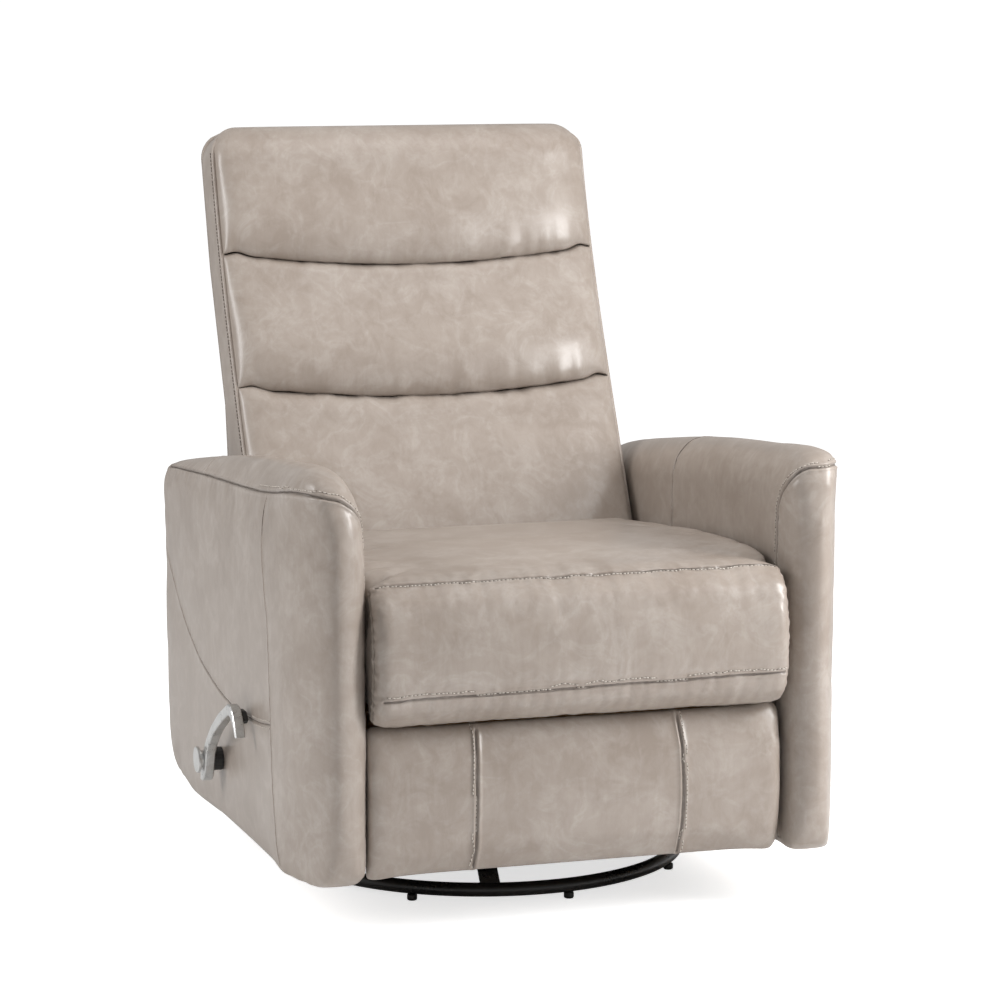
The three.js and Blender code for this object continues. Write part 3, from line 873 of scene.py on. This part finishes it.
# %% Footrest pad
pad_low, pad_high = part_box("footrest_pad")
footrest = foam_copy("footrest_cover", "footrest_pad")
relaxed(footrest.data, 2)
puff(footrest, 5 * MM)
subdivided(footrest)
fit_to(footrest, pad_low - Vector((5 * MM, 0, 0)), pad_high + Vector((5 * MM, 0, 4 * MM)))
print("footrest pad:", len(footrest.data.vertices), "vertices")

# %% [markdown]
# ## Arms
#
# An arm is a wooden frame in thick foam. The top is a pad domed across its width, and the front is a
# rounded nose. The dome is made by lowering the foam towards both long edges of the top.

# %% Arm padding
def arm_cover(name, node):
    low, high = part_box(node)
    piece = foam_copy(name, node)
    relaxed(piece.data, 4)
    fit_to(piece, low, high)
    places = vertex_values(piece.data, "co")
    rows = ((places[:, 1] - low.y) / (10 * MM)).astype(int)
    crest = np.full(rows.max() + 1, low.z)
    np.maximum.at(crest, rows, places[:, 2])
    side = (places[:, 0] - (low.x + high.x) / 2) / ((high.x - low.x) / 2)
    near_top = smoothstep(places[:, 2], crest[rows] - 110 * MM, crest[rows] - 8 * MM)
    places[:, 2] += (4 - 30 * np.abs(side) ** 2.2) * MM * near_top
    move_vertices(piece.data, places)
    puff(piece, 4 * MM)
    subdivided(piece)
    fit_to(piece, low, high)
    print(name, len(piece.data.vertices), "vertices")
    return piece


right_arm = arm_cover("arm_cover_right", "arm_upholstery_right")
left_arm = arm_cover("arm_cover_left", "arm_upholstery_left")

# %% [markdown]
# ## Rear panel
#
# Behind the seat, low between the arms, a plain upholstered panel closes the chair.

# %% Rear panel cover
panel_low, panel_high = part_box("rear_panel")
rear_cover = foam_copy("rear_panel_cover", "rear_panel")
relaxed(rear_cover.data, 1)
subdivided(rear_cover)

# %% [markdown]
# ## Seams of the arms
#
# One panel covers the top and the inner side of the arm, another the outer side and the nose. They
# meet in a seam that runs along the outer edge of the top, round the corner at the front and down the
# inner edge of the nose. A cross seam joins two pieces of the top, an upright stitched seam divides
# the outer side from the nose, and a long curved seam lets in a dart low on the outer side.

# %% Arm seam routes
CROSS_SEAMS = {
    -1: [(304, 190, 420), (304, 186, 500), (306, 182, 550), (318, 175, 580), (335, 168, 594),
         (362, 138, 596), (388, 109, 570)],
    1: [(304, 14, 420), (304, 12, 500), (305, 10, 560), (314, 6, 594), (335, -2, 616),
        (370, -19, 616), (388, -28, 579)],
}
EDGE_FRONTS = {
    -1: [(388, -385, 612), (364, -447, 612), (340, -450, 606), (320, -448, 592), (306, -436, 570),
         (302, -426, 544), (300, -424, 487), (300, -424, 338), (300, -426, 202), (303, -430, 95)],
    1: [(388, -385, 617), (370, -442, 625), (352, -462, 628), (338, -464, 628), (326, -459, 626),
        (316, -451, 620), (309, -443, 611), (304, -430, 596), (303, -410, 572), (303, -404, 544),
        (303, -402, 484), (304, -398, 338), (304, -400, 202), (306, -407, 95)],
}
DART_STITCHED = 110 * MM
EDGE_PLAIN = 560 * MM


def arm_routes(side):
    """Routes in the row frame for one arm; side is -1 for the sitter's right arm and 1 for the left."""
    edge = [(388, 352, 553), (389, 97, 572), (389, -213, 591), *EDGE_FRONTS[side]]
    cross = CROSS_SEAMS[side]
    upright = [(389, -272, 596), (399, -263, 555), (399, -281, 450), (399, -292, 420), (399, -305, 289),
               (399, -315, 195), (399, -345, 92)]
    dart = [(390, 376, 425), (394, 250, 345), (397, 139, 302), (399, 77, 288), (399, -33, 269),
            (399, -136, 266), (399, -230, 271), (399, -304, 281)]
    return {
        name: smooth_route([at(side * x, y, z) for x, y, z in points])
        for name, points in (("edge", edge), ("cross", cross), ("upright", upright), ("dart", dart))
    }


def sew_arm(piece, side, hand):
    """Draws the padding to its seam lines, sews them and stitches the seams that show it."""
    routes = arm_routes(side)
    targets = routes["edge"][::6] + routes["upright"][::10] + routes["dart"][::10]
    for _ in range(2):
        drawn_to(piece, targets, reach=45 * MM)
    sew(piece, [routes["edge"]], width=1.7 * MM, depth=2.8 * MM, swell=1.3 * MM, pucker=0.7 * MM)
    sew(piece, [routes["cross"]], width=1.4 * MM, depth=2.2 * MM, swell=0.6 * MM, pucker=0.5 * MM)
    panels = [routes["upright"], routes["dart"]]
    sew(piece, panels, width=1.3 * MM, depth=1.9 * MM, swell=0.5 * MM, pucker=0.4 * MM)
    dart_end = routes["dart"][-round(DART_STITCHED / ROUTE_STEP):]
    topped = routes["edge"][round(EDGE_PLAIN / ROUTE_STEP):]
    rows = [(topped, 8 * MM * side), (dart_end, 5 * MM * side), (dart_end, -5 * MM * side)]
    stitched("arm_stitches_" + hand, piece, rows, "chassis")
    seam_line("arm_seam_lines_" + hand, piece, list(routes.values()), "chassis")


sew_arm(right_arm, -1, "right")
sew_arm(left_arm, 1, "left")

# %% [markdown]
# ## Seams of the seat and footrest
#
# The seat cover has a sewn edge along the top of its front face and a second stitched line low on it.
# The footrest pad is sewn from three panels, and its two upright seams are folded to one side and
# stitched down, which leaves a low ridge beside the stitches.

# %% Seat and footrest seams
SEAT_SEAM_END = 290
seam_places = np.linspace(-SEAT_SEAM_END, SEAT_SEAM_END, 11)
seat_top = [at(x, -436, 489 + 3 * (x / 300)) for x in seam_places]
seat_low_line = [at(x, -478, 341 + 4 * (x / 300)) for x in seam_places]
seat_seams = [smooth_route(seat_top), smooth_route(seat_low_line)]
sew(seat, seat_seams, width=1.5 * MM, depth=2 * MM, swell=0.8 * MM, pucker=0.6 * MM)
EDGE_ROWS = ((297, -430, 482), (299, -455, 440), (299, -460, 380), (299, -455, 330), (297, -440, 303))
seat_edges = [smooth_route([at(side * x, y, z) for x, y, z in EDGE_ROWS]) for side in (-1, 1)]
gathers = {"pucker": 2.2 * MM, "pucker_length": 16 * MM}
sew(seat, seat_edges, width=1.8 * MM, depth=1.5 * MM, swell=0.8 * MM, **gathers)
stitched("seat_stitches", seat, [(seat_seams[0], 3.5 * MM), (seat_seams[1], -7 * MM)], "seat")
seam_line("seat_seam_lines", seat, seat_seams, "seat")

PAD_SEAM = 148
PAD_ROWS = ((-4, -405, 288), (-2, -432, 272), (0, -447, 237), (1, -450, 168), (0, -442, 121),
            (0, -425, 88))
pad_seams = [
    smooth_route([at(side * (PAD_SEAM + out), y, z) for out, y, z in PAD_ROWS]) for side in (-1, 1)
]
sew(footrest, pad_seams, width=1.6 * MM, depth=2.4 * MM, swell=1.5 * MM, pucker=0.4 * MM)
stitched("footrest_stitches", footrest, [(pad_seams[0], 6 * MM), (pad_seams[1], -6 * MM)], "footrest")
seam_line("footrest_seam_lines", footrest, pad_seams, "footrest")

# %% [markdown]
# ## Seams of the back
#
# The front cover of the back meets the boxing strip in a tight seam, with a row of stitches on the
# strip just behind it.

# %% Back seams
def strip_route(side, depth):
    along = np.linspace(45 * MM, TOP - CORNER_RADIUS, 24)
    x = np.full(along.shape, side * (BACK_HALF_WIDTH + 4 * MM))
    return smooth_route([Vector(point) for point in on_back(x, along, depth)])


strip_rows = [(strip_route(side, 9 * MM), 0) for side in (-1, 1)]
stitch_rows("back_stitches", boxing, strip_rows, "back", dark_thread_and_painted_shade)

# %% [markdown]
# ## Dressing the covers
#
# Every cover takes the leather and rides on the body whose foam it covers, and that foam's CAD solid
# is hidden. The table also gives how full the cushions and pads are.

# %% Covers ride on their bodies
COVERS = (
    (lumbar, "back", "back_cushion_lower", 0.7),
    (chest, "back", "back_cushion_middle", 0.75),
    (head, "back", "back_cushion_head", 0.8),
    (outside, "back", "outside_back", None),
    (boxing, "back", None, None),
    (seat, "seat", "seat_cushion", 0.85),
    (footrest, "footrest", "footrest_pad", 0.85),
    (right_arm, "chassis", "arm_upholstery_right", 0.9),
    (left_arm, "chassis", "arm_upholstery_left", 0.9),
    (rear_cover, "chassis", "rear_panel", None),
)
for piece, body, node, fill in COVERS:
    piece.data.materials.clear()
    piece.data.materials.append(leather)
    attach(piece, body)
    if node:
        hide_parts(node)
    print(f"{piece.name}: {len(piece.data.polygons)} faces on {body}")

# %% [markdown]
# ## The ring base
#
# The ring is one bent steel tube, so it is a circle spun round the axis, with the ends merged. The
# glides under it are turned plastic buttons. Both are finer versions of the CAD's ring and glides.

# %% Ring and glides
def spun(name, profile, centre, steps=64):
    """A closed solid turned round an upright axis from (radius, height) points."""
    bm = bmesh.new()
    verts = [bm.verts.new((centre.x + radius, centre.y, height)) for radius, height in profile]
    edges = [bm.edges.new(pair) for pair in zip(verts, verts[1:] + verts[:1])]
    bmesh.ops.spin(
        bm, geom=verts + edges, cent=centre, axis=(0, 0, 1), angle=2 * math.pi, steps=steps,
        use_merge=True)
    bmesh.ops.remove_doubles(bm, verts=bm.verts, dist=0.01 * MM)
    bmesh.ops.dissolve_degenerate(bm, edges=bm.edges, dist=0.005 * MM)
    bmesh.ops.recalc_face_normals(bm, faces=bm.faces)
    return mesh_object(name, bm)


def finish_piece(piece, material, body, slot_name, *stands_for):
    piece.data.materials.append(material)
    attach(piece, body)
    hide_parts(*stands_for)


tube_radius = (ring_high.z - ring_low.z) / 2
tube_height = (ring_high.z + ring_low.z) / 2
tube_centre = (ring_high.x - ring_low.x) / 2 - tube_radius
turns = [math.radians(angle) for angle in range(0, 360, 12)]
tube = [
    (tube_centre + tube_radius * math.cos(turn), tube_height + tube_radius * math.sin(turn))
    for turn in turns
]
ring = spun("ring_tube", tube, AXIS, steps=160)
finish_piece(ring, black_paint, "base", "black_steel", "base_ring")

for name in sorted(n for n in nodes if n.startswith("floor_glide")):
    low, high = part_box(name)
    centre = Vector(((low.x + high.x) / 2, (low.y + high.y) / 2, 0))
    radius, height = (high.x - low.x) / 2, high.z - low.z
    rim = [(0.0, 0), (radius * 0.8, 0), (radius * 0.95, height * 0.12), (radius, height * 0.3),
           (radius, height * 0.85), (radius * 0.93, height), (0.0, height)]
    button = spun(name + "_button", rim, centre, steps=32)
    finish_piece(button, black_plastic, "base", "black_plastic", name)
print("ring tube radius:", round(tube_radius, 4))

# %% [markdown]
# ## Parts that keep their CAD shape
#
# The lever, the mechanism and the frames show as their CAD solids. Their sharp edges are rounded a
# little, as on any cast, stamped or sawn part, and they take the finish that their slot names.

# %% CAD parts that stay
STAY_BEVEL = 0.8 * MM
for name, node in nodes.items():
    if node.hide_render:
        continue
    weld = node.modifiers.new("Weld", "WELD")
    weld.merge_threshold = 0.02 * MM
    edge = node.modifiers.new("Edge", "BEVEL")
    edge.width = STAY_BEVEL
    edge.segments = 2
    edge.limit_method = "ANGLE"
    edge.angle_limit = math.radians(40)
    slot_name = node.data.materials[0].name
    node.data.materials[0] = SLOT_MATERIALS[slot_name]
print("CAD parts with finer edges:", sum(not node.hide_render for node in nodes.values()))

# %% [markdown]
# ## Studio
#
# The chair stands on a plain pale floor under a bright even sky, as for a catalogue. A tall soft light
# stands at the front left, another on the right, and a wide one hangs overhead, so that the leather
# shows long soft highlights along the rolled edges of the back. The camera looks down a little from
# the front, from the chair's right.

# %% Floor, world and lights
def area_light(name, place, target, width, height, power):
    light = bpy.data.lights.new(name, "AREA")
    light.shape = "RECTANGLE"
    light.size, light.size_y = width, height
    light.energy = power
    lamp = bpy.data.objects.new(name, light)
    lamp.location = place
    lamp.rotation_euler = (Vector(target) - Vector(place)).to_track_quat("-Z", "Y").to_euler()
    scene.collection.objects.link(lamp)
    return lamp


SKY_FILL = 0.38
floor_mesh = bmesh.new()
bmesh.ops.create_grid(floor_mesh, x_segments=1, y_segments=1, size=30)
floor = mesh_object("studio_floor", floor_mesh)
floor_material, floor_tree, floor_shader = new_material("pale_floor")
floor_shader.inputs["Base Color"].default_value = (0.93, 0.93, 0.93, 1)
floor_shader.inputs["Roughness"].default_value = 0.9
floor_shader.inputs["Specular IOR Level"].default_value = 0.1
floor_shader.inputs["Emission Color"].default_value = (1, 1, 1, 1)
floor_seen = add(floor_tree, "ShaderNodeLightPath").outputs["Is Camera Ray"]
floor_glow = sum_of(floor_tree, floor_seen, 0.7, "MULTIPLY")
floor_tree.links.new(floor_glow, floor_shader.inputs["Emission Strength"])
floor.data.materials.append(floor_material)

world = bpy.data.worlds.new("studio_sky")
world.use_nodes = True
sky = world.node_tree.nodes["Background"]
sky.inputs["Color"].default_value = (1, 1, 1, 1)
seen = add(world.node_tree, "ShaderNodeLightPath").outputs["Is Camera Ray"]
world.node_tree.links.new(ranged(world.node_tree, seen, 0, 1, SKY_FILL, 1.05), sky.inputs["Strength"])
scene.world = world
scene.view_settings.view_transform = "Standard"

CHAIR_MIDDLE = (AXIS.x, AXIS.y, 0.6)
area_light("left_softbox", (-2.4, 0.1, 1.6), CHAIR_MIDDLE, 0.6, 1.5, 34)
area_light("right_softbox", (1.55, -1.35, 1.3), CHAIR_MIDDLE, 0.5, 1.3, 46)
overhead = area_light("top_softbox", (0.5, -0.4, 3.1), CHAIR_MIDDLE, 1.6, 1.2, 42)
overhead.visible_glossy = False

# %% [markdown]
# The camera stands a little above the chair's top, five metres away, with a long lens.

# %% Camera
CAMERA_PLACE = Vector((-1.527, -4.854, 1.270))
CAMERA_TARGET = CAMERA_PLACE + Vector((0.3058, 0.9412, -0.1437))
camera_data = bpy.data.cameras.new("camera")
camera_data.sensor_width = 36
camera_data.lens = 126
camera = bpy.data.objects.new("camera", camera_data)
camera.location = CAMERA_PLACE
camera.rotation_euler = (CAMERA_TARGET - CAMERA_PLACE).to_track_quat("-Z", "Y").to_euler()
scene.collection.objects.link(camera)
scene.camera = camera
print("camera at", [round(v, 3) for v in camera.location])
